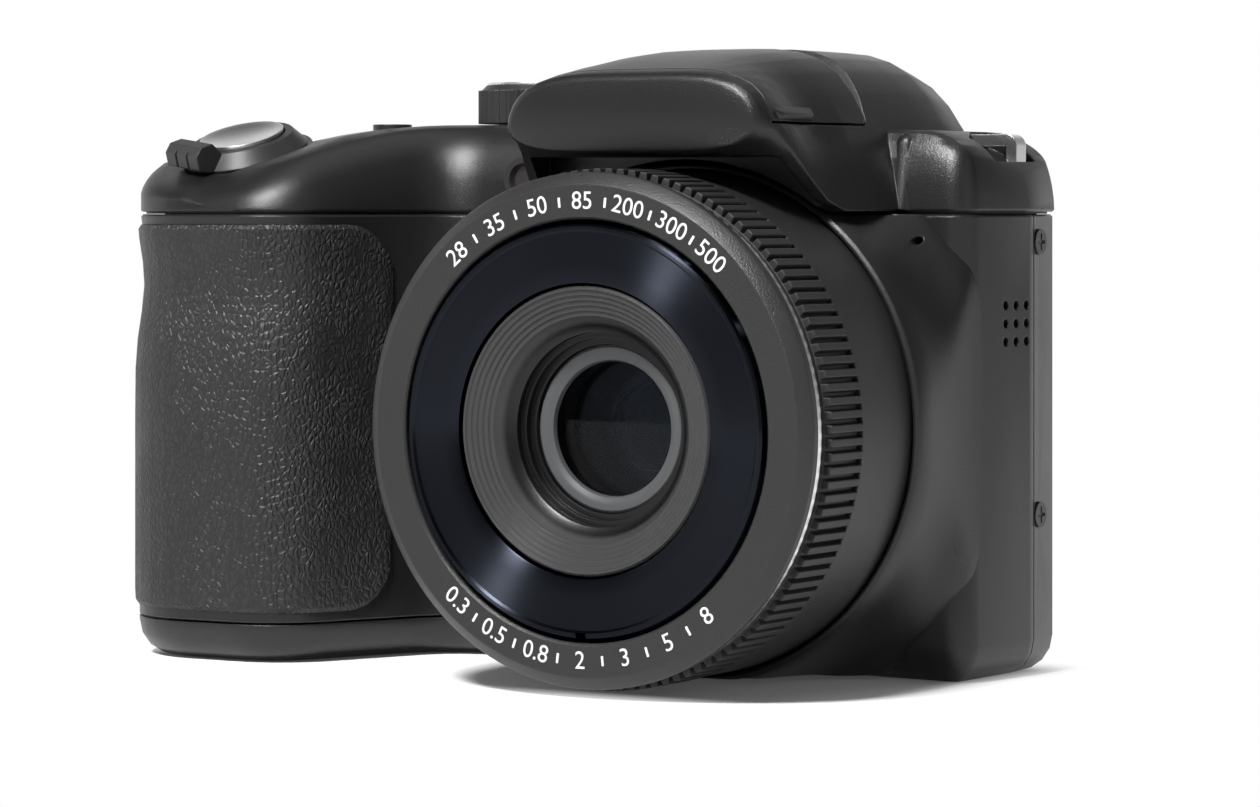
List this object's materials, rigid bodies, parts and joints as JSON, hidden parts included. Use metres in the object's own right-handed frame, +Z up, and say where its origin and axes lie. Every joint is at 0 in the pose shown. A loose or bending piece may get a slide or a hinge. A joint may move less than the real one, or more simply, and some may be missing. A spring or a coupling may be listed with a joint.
{
  "type": "bridge camera",
  "caption": "Black bridge camera with a large hand grip, fixed long zoom lens in a ribbed tube, pop-up flash brow, mode dial and leaning shutter group.",
  "frame": {"origin": "centre of the tripod socket's mouth in the base plane, under the lens axis", "axes": "+Z up, -Y forward along the lens axis, +X to the right of someone facing the lens"},
  "size_m": [0.1175, 0.0643, 0.0784],
  "materials": {
    "shell": "fine grain",
    "grip": "leather grain",
    "lens_body": "fine grain",
    "lens_front": "glossy",
    "baffle": "ridged",
    "trim": "glossy",
    "bright": "satin",
    "button": "satin",
    "record": "satin",
    "lens_glass": "coated",
    "ring_grey": "satin",
    "screen": "glossy",
    "inner_plastic": "plain",
    "plate": "pressed",
    "board": "solder mask",
    "socket": "turned",
    "steel": "plain",
    "cell": "wrapped",
    "flash_clear": "ribbed",
    "sensor": "glossy"
  },
  "bodies": {
    "camera": {"front_cover": "shell", "rear_cover": "shell", "top_cover": "shell", "grip_rubber": "grip", "battery_pin": "steel", "battery_box": "inner_plastic", "battery_cells": "cell", "battery_contacts": "steel", "chassis": "plate", "main_board": "board", "tripod_socket": "socket", "strap_lugs": "bright", "cover_screws": "steel", "speaker": "inner_plastic", "microphone": "steel", "usb_port": "steel", "lens_housing": "lens_body", "ribbed_ring": "lens_body", "trim_ring": "trim", "lens_bezel": "lens_body", "guide_tube": "inner_plastic", "rear_glass": "lens_glass", "image_sensor": "sensor", "zoom_motor": "steel", "focus_lamp": "button", "flash_pin": "steel", "screen_panel": "screen", "screen_window": "screen"},
    "door": {"battery_door": "shell"},
    "latch": {"battery_latch": "button"},
    "port_flap": {"port_cover": "button"},
    "zoom": {"zoom_barrel": "lens_front"},
    "front_group": {"inner_barrel": "baffle", "retaining_ring": "ring_grey", "front_glass": "lens_glass", "middle_glass": "lens_glass", "iris_unit": "inner_plastic"},
    "shutter": {"shutter_button": "bright"},
    "lever": {"zoom_lever": "button"},
    "power": {"power_button": "bright"},
    "burst": {"burst_button": "button"},
    "dial": {"mode_dial": "button", "dial_cap": "bright"},
    "flash": {"flash_lid": "shell", "flash_window": "flash_clear", "flash_reflector": "bright", "flash_tube": "flash_clear"},
    "nav": {"nav_ring": "button"},
    "ok": {"ok_button": "button"},
    "menu": {"menu_button": "button"},
    "play": {"play_button": "button"},
    "delete": {"delete_button": "button"},
    "info": {"info_button": "button"},
    "record": {"record_button": "record"}
  },
  "joints": [
    {"name": "door_hinge", "type": "hinge", "parent": "camera", "child": "door", "pos_m": [-0.0383, 0, 0.00115], "axis": [0, -1, 0], "range_deg": [0, 95]},
    {"name": "latch_slide", "type": "slide", "parent": "door", "child": "latch", "axis": [1, 0, 0], "range_m": [0, 0.0025]},
    {"name": "port_hinge", "type": "hinge", "parent": "camera", "child": "port_flap", "pos_m": [-0.08225, 0.005, 0.027], "axis": [0, -1, 0], "range_deg": [0, 110]},
    {"name": "zoom_slide", "type": "slide", "parent": "camera", "child": "zoom", "axis": [0, -1, 0], "range_m": [0, 0.02]},
    {"name": "group_slide", "type": "slide", "parent": "zoom", "child": "front_group", "axis": [0, -1, 0], "range_m": [0, 0.018]},
    {"name": "shutter_press", "type": "slide", "parent": "camera", "child": "shutter", "axis": [0, 0.3256, -0.9455], "range_m": [0, 0.0012], "stiffness_N_per_m": 500, "springref_m": -0.001},
    {"name": "lever_turn", "type": "hinge", "parent": "camera", "child": "lever", "pos_m": [-0.07, -0.022, 0.06526], "axis": [0, -0.3256, 0.9455], "range_deg": [-20, 20], "stiffness_Nm_per_rad": 0.03},
    {"name": "power_press", "type": "slide", "parent": "camera", "child": "power", "axis": [0, 0, -1], "range_m": [0, 0.0005], "stiffness_N_per_m": 800, "springref_m": -0.0006},
    {"name": "burst_press", "type": "slide", "parent": "camera", "child": "burst", "axis": [0, 0, -1], "range_m": [0, 0.0005], "stiffness_N_per_m": 800, "springref_m": -0.0006},
    {"name": "dial_turn", "type": "hinge", "parent": "camera", "child": "dial", "pos_m": [-0.0388, 0.002, 0.0696], "axis": [0, 0, 1], "continuous": true},
    {"name": "flash_hinge", "type": "hinge", "parent": "camera", "child": "flash", "pos_m": [0, -0.01605, 0.06985], "axis": [-1, 0, 0], "range_deg": [0, 20]},
    {"name": "nav_press", "type": "slide", "parent": "camera", "child": "nav", "axis": [0, -1, 0], "range_m": [0, 0.0005], "stiffness_N_per_m": 800, "springref_m": -0.0006},
    {"name": "ok_press", "type": "slide", "parent": "camera", "child": "ok", "axis": [0, -1, 0], "range_m": [0, 0.0005], "stiffness_N_per_m": 800, "springref_m": -0.0006},
    {"name": "menu_press", "type": "slide", "parent": "camera", "child": "menu", "axis": [0, -1, 0], "range_m": [0, 0.0005], "stiffness_N_per_m": 800, "springref_m": -0.0006},
    {"name": "play_press", "type": "slide", "parent": "camera", "child": "play", "axis": [0, -1, 0], "range_m": [0, 0.0005], "stiffness_N_per_m": 800, "springref_m": -0.0006},
    {"name": "delete_press", "type": "slide", "parent": "camera", "child": "delete", "axis": [0, -1, 0], "range_m": [0, 0.0005], "stiffness_N_per_m": 800, "springref_m": -0.0006},
    {"name": "info_press", "type": "slide", "parent": "camera", "child": "info", "axis": [0, -1, 0], "range_m": [0, 0.0005], "stiffness_N_per_m": 800, "springref_m": -0.0006},
    {"name": "record_press", "type": "slide", "parent": "camera", "child": "record", "axis": [0, -1, 0], "range_m": [0, 0.0005], "stiffness_N_per_m": 800, "springref_m": -0.0006}
  ],
  "couplings": [
    {"joint": "group_slide", "follows": "zoom_slide", "ratio": 0.9}
  ]
}
